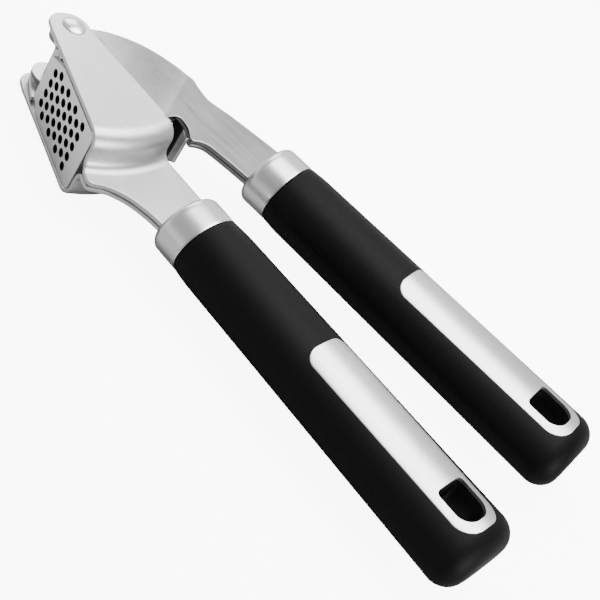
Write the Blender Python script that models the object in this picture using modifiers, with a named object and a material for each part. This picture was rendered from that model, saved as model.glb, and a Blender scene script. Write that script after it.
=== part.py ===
"""Garlic press: two stamped steel arms on one rivet, with a drop-in basket and a hinged plunger.

The press is modelled lying on its side. The pivot axis is +Z and passes through the origin of
every outline below; +X runs along the handle of the basket arm. The finished assembly is then
moved so that the middle of its underside is the origin. Lengths are millimetres until they are
multiplied by MM.
"""
import math

import bmesh
import bpy
from mathutils import Matrix, Vector

MM = 0.001
MERGE = 0.00001
GAP = 0.3

# Stamped steel sheet and the stack of layers on the pivot, measured from the middle plane.
SHEET_OUTER = 1.5
SHEET_THICK = 1.35
CHEEK_OUTER = 12.0
BASKET_SHEET = 1.3
BASKET_OUTER = 10.2
WASHER_OUTER = 8.6
WASHER_INNER = 8.1
WASHER_RADIUS = 4.2
PRESS_EAR_OUTER = 7.8
PIVOT_HOLE = 2.06
PIVOT_SHANK = 2.0
HEAD_CLEARANCE = 0.04
RIVET_HEAD = 3.5
RIVET_DOME = 0.8
EAR_RADIUS = 5.1

# Basket arm: the cheek ends at a round step, then the two sheets lie face to face as the neck.
FACE_ANGLE = math.radians(-21.3)
FACE_DISTANCE = 7.3
STEP_CENTRE = (-0.8, -3.5)
STEP_RADIUS = 44.0
SHOULDER_RADIUS = 3.6
STEP_FILLET = 2.0
DISH_RADIUS = 175.0
ARM_TOP = 4.6

# Press arm: flat neck, then a wedge that opens from the crease line towards the pivot.
CREASE_POINT = (22.4, 28.0)
CREASE_ANGLE = math.radians(-60.3)
WEDGE_LENGTH = 27.0
WEDGE_BEND = 6.0
BRIDGE_DEPTH = 8.5
BRIDGE_THICK = 1.3
HANDLE_TURN = math.radians(6.93)

# Handles, in their own frame: x along the handle, counted from the foot of the pivot.
BASKET_HANDLE_FOOT = (0.0, -5.5)
PRESS_HANDLE_FOOT = (-6.6, 28.1)
FERRULE_FRONT = 63.0
FERRULE_RIM = 2.0
FERRULE_FRONT_WALL = 1.8
FERRULE_WALL = 0.95
GRIP_START = 72.9
GRIP_END = 183.2
GRIP_END_RADIUS = 6.5
GRIP_HALF_WIDTH = 11.2
GRIP_HALF_WIDTH_END = 15.3
GRIP_HALF_HEIGHT = 9.3
GRIP_LIP = 0.5
GRIP_LIP_LENGTH = 5.0
NECK_END = 66.4
NECK_HALF_WIDTH = 9.6
TANG_END = 150.0
TANG_HALF_WIDTH = 6.0
CORE_START = 69.2
CORE_END = 158.0
CORE_HALF_WIDTH = 7.4
CORE_HALF_HEIGHT = 4.6
TANG_PIN_X = 100.0
TANG_PIN_RADIUS = 1.5
INLAY_START = 115.8
INLAY_END = 177.5
INLAY_HALF_WIDTH = 8.0
INLAY_THICK = 1.1
INLAY_BED = 1.2
HOLE_START = 163.2
HOLE_END = 174.9
HOLE_HALF_WIDTH = 5.55
LINER_WALL = 0.9
LINER_TOP = 6.9
LINER_BOTTOM = -7.9
SEAM = 0.25
FIT = 0.05

# Basket, in its own frame: x along the perforated face from the pivot, y up from that face.
HOLE_PITCH = 3.7
HOLE_RADIUS = 1.3
HOLE_ROWS = 8
FIRST_ROW = 13.4
ROW_STEP = HOLE_PITCH * math.sqrt(3.0) / 2.0
FACE_START = 8.5
FACE_END = 42.5
FACE_CORNER = 2.4
TAPER_LENGTH = 8.5
TAPER_DEPTH = 2.7
TAPER_TOP = -5.2
END_WALL = 40.8
END_WALL_TOP = 40.1
BASKET_RIM = 5.6
PIVOT_WALL_RIM = -1.3

# Plunger, hinged in the press arm; it is drawn pressed home and turned back by these angles.
PRESS_STROKE = math.radians(7.8)
PLUNGER_RATIO = -0.25
PLUNGER_ARM = 25.96
PLUNGER_HEIGHT = 7.0
PLUNGER_CLEARANCE = 0.5
FOOT_BACK = 13.5
FOOT_FRONT = 12.8
FOOT_HALF_WIDTH = 8.4
FOOT_THICK = 1.5
STEM_HALF_THICK = 1.8
STEM_RADIUS = 3.6
STEM_BASE = 5.5
BOSS_RADIUS = 4.0
PIN_RADIUS = 1.5
PIN_HALF_LENGTH = 6.2

ABOVE = 25.0
STEEL = (0.62, 0.62, 0.61)
POLISHED = (0.72, 0.72, 0.71)
RUBBER = (0.012, 0.012, 0.013)
NYLON = (0.03, 0.03, 0.032)


def face_vectors():
    """Unit vectors along the perforated face, away from the pivot, and out of that face."""
    along = (math.cos(FACE_ANGLE), math.sin(FACE_ANGLE))
    outward = (math.sin(FACE_ANGLE), -math.cos(FACE_ANGLE))
    return along, outward


def face_point(along_mm, outward_mm):
    """Plan point given by its distances along and out of the perforated face, from the pivot."""
    along, outward = face_vectors()
    return (along[0] * along_mm + outward[0] * outward_mm,
            along[1] * along_mm + outward[1] * outward_mm)


def arc(centre, radius, start, end, steps):
    """Points of a plan arc; angles are in degrees and both ends are included."""
    points = []
    for i in range(steps + 1):
        angle = math.radians(start + (end - start) * i / steps)
        points.append((centre[0] + radius * math.cos(angle), centre[1] + radius * math.sin(angle)))
    return points


def smooth(points, steps):
    """Points of a Catmull-Rom curve through the given plan points."""
    result = []
    ends = [points[0]] + list(points) + [points[-1]]
    for i in range(1, len(ends) - 2):
        p0, p1, p2, p3 = (Vector(p) for p in ends[i - 1:i + 3])
        for k in range(steps):
            t = k / steps
            spot = (p1 * 2 + (p2 - p0) * t + (p0 * 2 - p1 * 5 + p2 * 4 - p3) * t * t
                    + (p1 * 3 - p0 - p2 * 3 + p3) * t ** 3) * 0.5
            result.append((spot.x, spot.y))
    result.append(tuple(points[-1]))
    return result


def rounded_box(x0, x1, y0, y1, radii, steps=4):
    """Rectangle with its own corner radius at (x0, y0), (x1, y0), (x1, y1) and (x0, y1)."""
    corners = [(x0, y0, 180), (x1, y0, 270), (x1, y1, 0), (x0, y1, 90)]
    points = []
    for (x, y, start), radius in zip(corners, radii):
        cx = x + radius if x == x0 else x - radius
        cy = y + radius if y == y0 else y - radius
        points += arc((cx, cy), radius, start, start + 90, steps)
    return points


def fillet_profile(points, radii, steps=4):
    """Open polyline whose inner corners are rounded with the given radii."""
    result = [points[0]]
    for i in range(1, len(points) - 1):
        corner = Vector(points[i])
        before = (Vector(points[i - 1]) - corner).normalized()
        after = (Vector(points[i + 1]) - corner).normalized()
        half = before.angle(after) / 2
        reach = radii[i - 1] / math.tan(half)
        centre = corner + (before + after).normalized() * (radii[i - 1] / math.sin(half))
        start = corner + before * reach - centre
        turn = start.angle_signed(corner + after * reach - centre)
        for k in range(steps + 1):
            spot = centre + Matrix.Rotation(-turn * k / steps, 2) @ start
            result.append((spot.x, spot.y))
    result.append(points[-1])
    return result


def make_collections():
    """Collections for the parts and for the cutters."""
    parts = bpy.data.collections.new("garlic_press")
    cutters = bpy.data.collections.new("cutters")
    for collection in (parts, cutters):
        bpy.context.scene.collection.children.link(collection)
    return parts, cutters


def make_materials():
    """One Principled material for each finish."""
    table = {
        "brushed_steel": (STEEL, 0.34, 1.0),
        "polished_steel": (POLISHED, 0.18, 1.0),
        "soft_black": (RUBBER, 0.62, 0.0),
        "black_nylon": (NYLON, 0.4, 0.0),
    }
    materials = {}
    for name, (colour, roughness, metallic) in table.items():
        material = bpy.data.materials.new(name)
        material.use_nodes = True
        shader = material.node_tree.nodes["Principled BSDF"]
        shader.inputs["Base Color"].default_value = (*colour, 1.0)
        shader.inputs["Roughness"].default_value = roughness
        shader.inputs["Metallic"].default_value = metallic
        material.diffuse_color = (*colour, 1.0)
        materials[name] = material
    return materials


def new_object(name, mesh, collection, parent=None):
    """Object for a mesh, linked to a collection and parented to an empty."""
    obj = bpy.data.objects.new(name, mesh)
    collection.objects.link(obj)
    obj.parent = parent
    if collection.name == "cutters":
        obj.hide_render = True
        obj.display_type = 'WIRE'
    return obj


def new_empty(name, collection, parent, plan=(0.0, 0.0), turn=0.0):
    """Empty at a plan point, turned about Z."""
    empty = bpy.data.objects.new(name, None)
    collection.objects.link(empty)
    empty.parent = parent
    empty.location = (plan[0] * MM, plan[1] * MM, 0)
    empty.rotation_euler = (0, 0, turn)
    return empty


def mesh_from_bmesh(name, shape):
    """Mesh with its faces turned outwards."""
    bmesh.ops.recalc_face_normals(shape, faces=shape.faces)
    mesh = bpy.data.meshes.new(name)
    shape.to_mesh(mesh)
    shape.free()
    return mesh


def flat_mesh(name, loops, bottom, top):
    """Closed slab over plan loops, from one height to another; inner loops become holes."""
    curve = bpy.data.curves.new(name, 'CURVE')
    curve.dimensions = '2D'
    curve.fill_mode = 'BOTH'
    curve.extrude = (top - bottom) / 2 * MM
    for loop in loops:
        spline = curve.splines.new('POLY')
        spline.points.add(len(loop) - 1)
        for point, (x, y) in zip(spline.points, loop):
            point.co = (x * MM, y * MM, 0, 1)
        spline.use_cyclic_u = True
    obj = bpy.data.objects.new(name, curve)
    bpy.context.scene.collection.objects.link(obj)
    bpy.context.view_layer.update()
    mesh = bpy.data.meshes.new_from_object(obj.evaluated_get(bpy.context.evaluated_depsgraph_get()))
    bpy.data.objects.remove(obj)
    shape = bmesh.new()
    shape.from_mesh(mesh)
    bmesh.ops.remove_doubles(shape, verts=shape.verts, dist=MERGE)
    bmesh.ops.translate(shape, verts=shape.verts, vec=(0, 0, (top + bottom) / 2 * MM))
    return mesh_from_bmesh(name, shape)


def cylinder_mesh(name, radius, bottom, top, plan=(0.0, 0.0), segments=24):
    """Cylinder along Z at a plan point."""
    shape = bmesh.new()
    matrix = Matrix.Translation((plan[0] * MM, plan[1] * MM, (top + bottom) / 2 * MM))
    bmesh.ops.create_cone(shape, cap_ends=True, segments=segments, radius1=radius * MM,
                          radius2=radius * MM, depth=(top - bottom) * MM, matrix=matrix)
    return mesh_from_bmesh(name, shape)


def boolean(obj, cutter, operation='DIFFERENCE'):
    """Cut, join or trim an object with another one."""
    modifier = obj.modifiers.new(operation.lower(), 'BOOLEAN')
    modifier.operation = operation
    modifier.object = cutter
    return modifier


def finish(obj, material, sharp_degrees=30):
    """Material and shading of one finished piece."""
    obj.data.materials.clear()
    obj.data.materials.append(material)
    obj.data.shade_smooth()
    obj.data.set_sharp_from_angle(angle=math.radians(sharp_degrees))
    return obj


def grip_half_sizes(x):
    """Half width and half height of the grip's oval section at x."""
    share = (x - GRIP_START) / (GRIP_END - GRIP_START)
    lip = GRIP_LIP * min(1.0, max(0.0, (x - GRIP_START) / GRIP_LIP_LENGTH))
    wide = GRIP_HALF_WIDTH + lip + (GRIP_HALF_WIDTH_END - GRIP_HALF_WIDTH - GRIP_LIP) * share
    high = GRIP_HALF_HEIGHT + lip / 2
    over = max(0.0, x - (GRIP_END - GRIP_END_RADIUS))
    inset = GRIP_END_RADIUS - math.sqrt(max(0.0, GRIP_END_RADIUS ** 2 - over ** 2))
    return wide - inset, high - inset


def oval_mesh(name, stations, segments=32):
    """Loft through oval rings; each station is (x, half width, half height)."""
    shape = bmesh.new()
    rings = []
    for x, wide, high in stations:
        ring = []
        for k in range(segments):
            angle = 2 * math.pi * k / segments
            ring.append(shape.verts.new((x * MM, wide * math.cos(angle) * MM,
                                         high * math.sin(angle) * MM)))
        rings.append(ring)
    for a, b in zip(rings, rings[1:]):
        for k in range(segments):
            after = (k + 1) % segments
            shape.faces.new((a[k], a[after], b[after], b[k]))
    shape.faces.new(rings[0])
    shape.faces.new(rings[-1])
    return mesh_from_bmesh(name, shape)


def crown_block(name, low, high, rows=4, columns=12):
    """Solid between two copies of the grip's upper surface, shifted by low and by high."""
    shape = bmesh.new()
    bmesh.ops.create_grid(shape, x_segments=rows, y_segments=columns, size=1.0)
    middle = (INLAY_START + INLAY_END) / 2
    for vert in shape.verts:
        x = middle + (INLAY_END - INLAY_START) * 0.6 * vert.co.x
        y = (INLAY_HALF_WIDTH + 2) * vert.co.y
        wide, tall = grip_half_sizes(min(x, GRIP_END - GRIP_END_RADIUS))
        vert.co = (x * MM, y * MM, (tall * math.sqrt(1 - (y / wide) ** 2) + low) * MM)
    region = bmesh.ops.extrude_face_region(shape, geom=shape.faces[:])
    raised = [item for item in region["geom"] if isinstance(item, bmesh.types.BMVert)]
    bmesh.ops.translate(shape, verts=raised, vec=(0, 0, (high - low) * MM))
    return mesh_from_bmesh(name, shape)


def inlay_outline(spread=0.0):
    """Plan outline of the inlay plate, in the handle's frame."""
    half = INLAY_HALF_WIDTH + spread
    radii = (4.0 + spread, 5.8 + spread, 5.8 + spread, 4.0 + spread)
    return rounded_box(INLAY_START - spread, INLAY_END + spread, -half, half, radii, 6)


def hang_hole_outline(spread=0.0):
    """Plan outline of the D-shaped hanging hole, in the handle's frame."""
    half = HOLE_HALF_WIDTH + spread
    radii = (1.6 + spread, 4.6 + spread, 4.6 + spread, 1.6 + spread)
    return rounded_box(HOLE_START - spread, HOLE_END + spread, -half, half, radii, 6)


def handle_point(foot, turn, x, y):
    """Plan point of a handle's own coordinates."""
    return (foot[0] + x * math.cos(turn) - y * math.sin(turn),
            foot[1] + x * math.sin(turn) + y * math.cos(turn))


def tang_outline(foot, turn):
    """Lower edge, end and upper edge of the tang that runs inside the grip."""
    corners = [(NECK_END, -NECK_HALF_WIDTH + 0.4), (NECK_END, -TANG_HALF_WIDTH),
               (TANG_END, -TANG_HALF_WIDTH), (TANG_END, TANG_HALF_WIDTH),
               (NECK_END, TANG_HALF_WIDTH), (NECK_END, NECK_HALF_WIDTH)]
    return [handle_point(foot, turn, x, y) for x, y in corners]


def plunger_pin():
    """Plan point of the plunger's pin with the press as it stands."""
    drop = FACE_DISTANCE - BASKET_SHEET - PLUNGER_CLEARANCE - PLUNGER_HEIGHT
    home = Vector(face_point(PLUNGER_ARM, drop))
    return tuple(Matrix.Rotation(PRESS_STROKE, 2) @ home)


def basket_arm_outline():
    """Plan outline of a basket-arm stamping: slot-shaped ear, cheek, neck and tang."""
    lower_centre = face_point(0.0, FACE_DISTANCE - EAR_RADIUS)
    back = math.degrees(FACE_ANGLE) + 180
    ear = arc((0, 0), EAR_RADIUS, 72, back, 6) + arc(lower_centre, EAR_RADIUS, back, back + 90, 8)
    neck = smooth([(44.3, -25.2), (45.7, -22.6), (48.2, -20.0), (52.9, -17.0), (59.5, -15.0)], 3)
    return ear + [face_point(46.4, FACE_DISTANCE + 0.4)] + neck \
        + tang_outline(BASKET_HANDLE_FOOT, 0.0)[:-1] + [(NECK_END, ARM_TOP), (5.0, ARM_TOP)]


def press_arm_outline():
    """Plan outline of a press-arm stamping: ear, arch over the plunger, boss, neck and tang."""
    pin = plunger_pin()
    arch = smooth([(4.6, -2.9), (8.5, 0.8), (13.0, 2.6), (17.5, 0.8), (21.4, -3.2)], 3)
    boss = arc(pin, BOSS_RADIUS, 190, 350, 8)
    front = smooth([(30.4, 2.0), (30.0, 10.0), (30.2, 17.5)], 3) \
        + smooth([(30.6, 21.5), (33.6, 21.3), (36.2, 20.6), (39.7, 18.6)], 3) \
        + smooth([(41.2, 20.8), (43.5, 22.7), (50.6, 24.7)], 3)
    back = smooth([(51.7, 45.0), (42.0, 42.2), (35.0, 39.9), (30.1, 37.9), (26.8, 37.1),
                   (22.5, 37.6), (18.5, 38.2), (13.3, 35.0), (7.1, 28.5), (2.6, 21.0),
                   (-1.5, 10.5)], 3)
    ear = arc((0, 0), EAR_RADIUS + 0.3, 165, 318, 10)
    return arch[:-1] + boss + front + tang_outline(PRESS_HANDLE_FOOT, HANDLE_TURN) + back + ear


def turn_upwards(shape):
    """Make the faces of an open sheet look up."""
    bmesh.ops.recalc_face_normals(shape, faces=shape.faces)
    if sum(face.normal.z * face.calc_area() for face in shape.faces) < 0:
        bmesh.ops.reverse_faces(shape, faces=shape.faces)


def dish_mesh(name):
    """Surface turned about the step's centre: cheek, shoulder, wall, fillet and neck."""
    points = fillet_profile([(0.0, CHEEK_OUTER), (STEP_RADIUS, CHEEK_OUTER),
                             (STEP_RADIUS, SHEET_OUTER), (DISH_RADIUS, SHEET_OUTER)],
                            [SHOULDER_RADIUS, STEP_FILLET])
    shape = bmesh.new()
    verts = [shape.verts.new((r * MM, 0, z * MM)) for r, z in points]
    edges = [shape.edges.new(pair) for pair in zip(verts, verts[1:])]
    bmesh.ops.spin(shape, geom=verts + edges, cent=(0, 0, 0), axis=(0, 0, 1),
                   angle=2 * math.pi, steps=54, use_merge=True)
    bmesh.ops.remove_doubles(shape, verts=shape.verts, dist=MERGE)
    bmesh.ops.translate(shape, verts=shape.verts,
                        vec=(STEP_CENTRE[0] * MM, STEP_CENTRE[1] * MM, 0))
    turn_upwards(shape)
    mesh = bpy.data.meshes.new(name)
    shape.to_mesh(mesh)
    shape.free()
    return mesh


def wedge_mesh(name):
    """Sheet bent along two parallel lines: flat neck, slope, flat ear."""
    slope = (PRESS_EAR_OUTER - SHEET_OUTER) / WEDGE_LENGTH
    bend = WEDGE_BEND
    points = [(-150.0, SHEET_OUTER), (-bend / 2, SHEET_OUTER), (0.0, SHEET_OUTER + slope * bend / 8),
              (bend / 2, SHEET_OUTER + slope * bend / 2),
              (WEDGE_LENGTH - bend / 2, PRESS_EAR_OUTER - slope * bend / 2),
              (WEDGE_LENGTH, PRESS_EAR_OUTER - slope * bend / 8),
              (WEDGE_LENGTH + bend / 2, PRESS_EAR_OUTER), (60.0, PRESS_EAR_OUTER)]
    along = Vector((math.cos(CREASE_ANGLE), math.sin(CREASE_ANGLE), 0))
    towards = Vector((along.y, -along.x, 0))
    start = Vector((*CREASE_POINT, 0)) - along * 100
    shape = bmesh.new()
    verts = [shape.verts.new((start + towards * w + Vector((0, 0, z))) * MM) for w, z in points]
    edges = [shape.edges.new(pair) for pair in zip(verts, verts[1:])]
    swept = bmesh.ops.extrude_edge_only(shape, edges=edges)
    moved = [item for item in swept["geom"] if isinstance(item, bmesh.types.BMVert)]
    bmesh.ops.translate(shape, verts=moved, vec=along * 200 * MM)
    turn_upwards(shape)
    mesh = bpy.data.meshes.new(name)
    shape.to_mesh(mesh)
    shape.free()
    return mesh


def make_shell(name, sheet, outline, side, collection, cutters, parent, pins):
    """Stamping: a bent sheet trimmed to its outline and drilled; side -1 is the mirrored one."""
    mesh = sheet(name)
    if side < 0:
        mesh.transform(Matrix.Scale(-1, 4, (0, 0, 1)))
    obj = new_object(name, mesh, collection, parent)
    solidify = obj.modifiers.new("sheet", 'SOLIDIFY')
    solidify.thickness = SHEET_THICK * MM
    solidify.offset = -1 if side > 0 else 1
    solidify.use_even_offset = True
    slab = new_object(name + "_outline", flat_mesh(name, [outline], -ABOVE, ABOVE), cutters, parent)
    boolean(obj, slab, 'INTERSECT')
    for index, (plan, radius) in enumerate(pins):
        drill = cylinder_mesh(name, radius, -ABOVE, ABOVE, plan)
        boolean(obj, new_object(f"{name}_drill_{index}", drill, cutters, parent))
    return obj


def ferrule_sizes(x):
    """Half width and half height of the ferrule at x, with its rounded front rim."""
    under = max(0.0, FERRULE_FRONT + FERRULE_RIM - x)
    inset = FERRULE_RIM - math.sqrt(max(0.0, FERRULE_RIM ** 2 - under ** 2))
    return x, GRIP_HALF_WIDTH - inset, GRIP_HALF_HEIGHT - inset


def make_ferrule(name, collection, cutters, frame):
    """Steel collar: rounded front wall with a slot for the neck, open at the back."""
    rim = [ferrule_sizes(FERRULE_FRONT + FERRULE_RIM * (1 - math.cos(math.radians(a))))
           for a in (0, 30, 60, 90)]
    obj = new_object(name, oval_mesh(name, rim + [ferrule_sizes(GRIP_START - GAP / 2)]),
                     collection, frame)
    wide = GRIP_HALF_WIDTH - FERRULE_WALL
    high = GRIP_HALF_HEIGHT - FERRULE_WALL
    bore = oval_mesh(name, [(FERRULE_FRONT + FERRULE_FRONT_WALL, wide, high),
                            (GRIP_START + 2, wide, high)])
    boolean(obj, new_object(name + "_bore", bore, cutters, frame))
    half = SHEET_OUTER + FIT
    slot = rounded_box(FERRULE_FRONT - 2, FERRULE_FRONT + FERRULE_FRONT_WALL + 1,
                       -NECK_HALF_WIDTH - SEAM, NECK_HALF_WIDTH + 1.2, (0.1,) * 4, 1)
    boolean(obj, new_object(name + "_slot", flat_mesh(name, [slot], -half, half), cutters, frame))
    return obj


def make_grip(name, collection, cutters, frame):
    """Soft oval grip with a bore for the core, a bed for the inlay and the hanging hole."""
    body = [GRIP_START + s for s in (0, 2.5, 5.0, 50)]
    round_start = GRIP_END - GRIP_END_RADIUS
    rounded = [round_start + GRIP_END_RADIUS * math.sin(math.radians(a))
               for a in (0, 20, 40, 60, 80)]
    stations = [(x, *grip_half_sizes(x)) for x in body + rounded]
    obj = new_object(name, oval_mesh(name, stations, 36), collection, frame)
    wide = CORE_HALF_WIDTH + GAP
    high = CORE_HALF_HEIGHT + GAP
    bore = rounded_box(GRIP_START - 2, CORE_END + GAP, -wide, wide, (0.1, 2.3, 2.3, 0.1), 3)
    boolean(obj, new_object(name + "_bore", flat_mesh(name, [bore], -high, high), cutters, frame))
    bed = new_object(name + "_bed", crown_block(name, -INLAY_BED, 8.0), cutters, frame)
    trim = flat_mesh(name, [inlay_outline(SEAM)], -ABOVE, ABOVE)
    boolean(bed, new_object(name + "_bed_trim", trim, cutters, frame), 'INTERSECT')
    boolean(obj, bed)
    hole = flat_mesh(name, [hang_hole_outline(LINER_WALL + FIT)], -ABOVE, ABOVE)
    boolean(obj, new_object(name + "_hole", hole, cutters, frame))
    return obj


def make_core(name, collection, cutters, frame):
    """Stiff core inside the grip, slotted for the tang and drilled for its pin."""
    outline = rounded_box(CORE_START, CORE_END, -CORE_HALF_WIDTH, CORE_HALF_WIDTH,
                          (2.0, 2.0, 2.0, 2.0), 3)
    obj = new_object(name, flat_mesh(name, [outline], -CORE_HALF_HEIGHT, CORE_HALF_HEIGHT),
                     collection, frame)
    wide = TANG_HALF_WIDTH + FIT
    slot = rounded_box(CORE_START - 2, TANG_END + GAP, -wide, wide, (0.1,) * 4, 1)
    half = SHEET_OUTER + FIT
    boolean(obj, new_object(name + "_slot", flat_mesh(name, [slot], -half, half), cutters, frame))
    drill = cylinder_mesh(name, TANG_PIN_RADIUS + FIT, -ABOVE, ABOVE, (TANG_PIN_X, 0))
    boolean(obj, new_object(name + "_drill", drill, cutters, frame))
    return obj


def make_inlay(name, collection, cutters, frame):
    """Crowned steel plate let into the top of the grip, pierced by the hanging hole."""
    obj = new_object(name, crown_block(name, -INLAY_THICK, 0.0), collection, frame)
    trim = flat_mesh(name, [inlay_outline(), hang_hole_outline()], -ABOVE, ABOVE)
    boolean(obj, new_object(name + "_trim", trim, cutters, frame), 'INTERSECT')
    return obj


def make_handle(prefix, materials, collection, cutters, parent, foot, turn):
    """Ferrule, grip, core, inlay, hole liner and tang pin of one arm."""
    frame = new_empty(prefix + "_handle_frame", collection, parent, foot, turn)
    steel = materials["brushed_steel"]
    finish(make_ferrule(prefix + "_ferrule", collection, cutters, frame), steel)
    finish(make_grip(prefix + "_grip", collection, cutters, frame), materials["soft_black"])
    finish(make_core(prefix + "_core", collection, cutters, frame), materials["black_nylon"])
    finish(make_inlay(prefix + "_inlay", collection, cutters, frame), steel)
    liner = flat_mesh(prefix, [hang_hole_outline(LINER_WALL), hang_hole_outline()],
                      LINER_BOTTOM, LINER_TOP)
    finish(new_object(prefix + "_hole_liner", liner, collection, frame), materials["black_nylon"])
    pin = cylinder_mesh(prefix, TANG_PIN_RADIUS, -CORE_HALF_HEIGHT, CORE_HALF_HEIGHT,
                        (TANG_PIN_X, 0))
    finish(new_object(prefix + "_tang_pin", pin, collection, frame), steel)


def make_basket_arm(materials, collection, cutters, root):
    """Both basket-arm stampings and their handle."""
    tang_hole = handle_point(BASKET_HANDLE_FOOT, 0.0, TANG_PIN_X, 0)
    pins = [((0, 0), PIVOT_HOLE), (tang_hole, TANG_PIN_RADIUS + FIT)]
    for name, side in (("basket_arm_front_shell", 1), ("basket_arm_back_shell", -1)):
        shell = make_shell(name, dish_mesh, basket_arm_outline(), side, collection, cutters,
                           root, pins)
        finish(shell, materials["brushed_steel"], 40)
    make_handle("basket_arm", materials, collection, cutters, root, BASKET_HANDLE_FOOT, 0.0)


def make_press_arm(materials, collection, cutters, root):
    """Both press-arm stampings, the bridge between them and their handle."""
    frame = new_empty("press_arm_frame", collection, root)
    tang_hole = handle_point(PRESS_HANDLE_FOOT, HANDLE_TURN, TANG_PIN_X, 0)
    pins = [((0, 0), PIVOT_HOLE), (plunger_pin(), PIN_RADIUS + FIT),
            (tang_hole, TANG_PIN_RADIUS + FIT)]
    for name, side in (("press_arm_front_shell", 1), ("press_arm_back_shell", -1)):
        shell = make_shell(name, wedge_mesh, press_arm_outline(), side, collection, cutters,
                           frame, pins)
        finish(shell, materials["brushed_steel"], 40)
    lower = [(31.0, 19.6), (33.2, 19.5), (35.6, 18.9), (38.9, 17.0)]
    upper = [(x + 0.25, y + BRIDGE_THICK) for x, y in reversed(lower)]
    bridge = flat_mesh("press_arm_bridge", [smooth(lower, 3) + smooth(upper, 3)],
                       -BRIDGE_DEPTH, SHEET_OUTER)
    finish(new_object("press_arm_bridge", bridge, collection, frame), materials["brushed_steel"])
    make_handle("press_arm", materials, collection, cutters, frame, PRESS_HANDLE_FOOT,
                HANDLE_TURN)
    return frame


def turned_mesh(name, profile, segments=24):
    """Solid of revolution about Z from an (radius, z) profile that starts and ends on the axis."""
    shape = bmesh.new()
    verts = [shape.verts.new((r * MM, 0, z * MM)) for r, z in profile]
    edges = [shape.edges.new(pair) for pair in zip(verts, verts[1:])]
    bmesh.ops.spin(shape, geom=verts + edges, cent=(0, 0, 0), axis=(0, 0, 1),
                   angle=2 * math.pi, steps=segments, use_merge=True)
    bmesh.ops.remove_doubles(shape, verts=shape.verts, dist=MERGE)
    return mesh_from_bmesh(name, shape)


def make_pivot(materials, collection, root):
    """Domed rivet through all the ears, and one washer on each side."""
    face = CHEEK_OUTER + HEAD_CLEARANCE
    dome = []
    for degrees in (90, 68, 45, 22, 0):
        angle = math.radians(degrees)
        dome.append((RIVET_HEAD * math.cos(angle), face + 0.2 + RIVET_DOME * math.sin(angle)))
    dome[0] = (0.0, dome[0][1])
    half = dome + [(RIVET_HEAD, face), (PIVOT_SHANK, face)]
    profile = half + [(r, -z) for r, z in reversed(half)]
    finish(new_object("pivot_rivet", turned_mesh("pivot_rivet", profile), collection, root),
           materials["polished_steel"])
    for name, low in (("pivot_washer_front", WASHER_INNER), ("pivot_washer_back", -WASHER_OUTER)):
        rings = [arc((0, 0), WASHER_RADIUS, 0, 350, 35), arc((0, 0), PIVOT_HOLE, 0, 345, 23)]
        ring = flat_mesh(name, rings, low, low + WASHER_OUTER - WASHER_INNER)
        finish(new_object(name, ring, collection, root), materials["polished_steel"])


def perforation_mesh(name):
    """All the drills for the perforated face, alternating four and five to a row."""
    shape = bmesh.new()
    for row in range(HOLE_ROWS):
        count = 4 + row % 2
        for k in range(count):
            spot = Vector((FIRST_ROW + row * ROW_STEP, -FACE_DISTANCE,
                           (k - (count - 1) / 2) * HOLE_PITCH)) * MM
            matrix = Matrix.Translation(spot) @ Matrix.Rotation(math.pi / 2, 4, 'X')
            bmesh.ops.create_cone(shape, cap_ends=True, segments=16, radius1=HOLE_RADIUS * MM,
                                  radius2=HOLE_RADIUS * MM, depth=6 * MM, matrix=matrix)
    return mesh_from_bmesh(name, shape)


def upright_mesh(name, outline, bottom, top):
    """Slab over an outline of (x, z) points, standing along Y instead of Z."""
    mesh = flat_mesh(name, [[(x, -z) for x, z in outline]], bottom, top)
    mesh.transform(Matrix.Rotation(-math.pi / 2, 4, 'X'))
    return mesh


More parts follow.
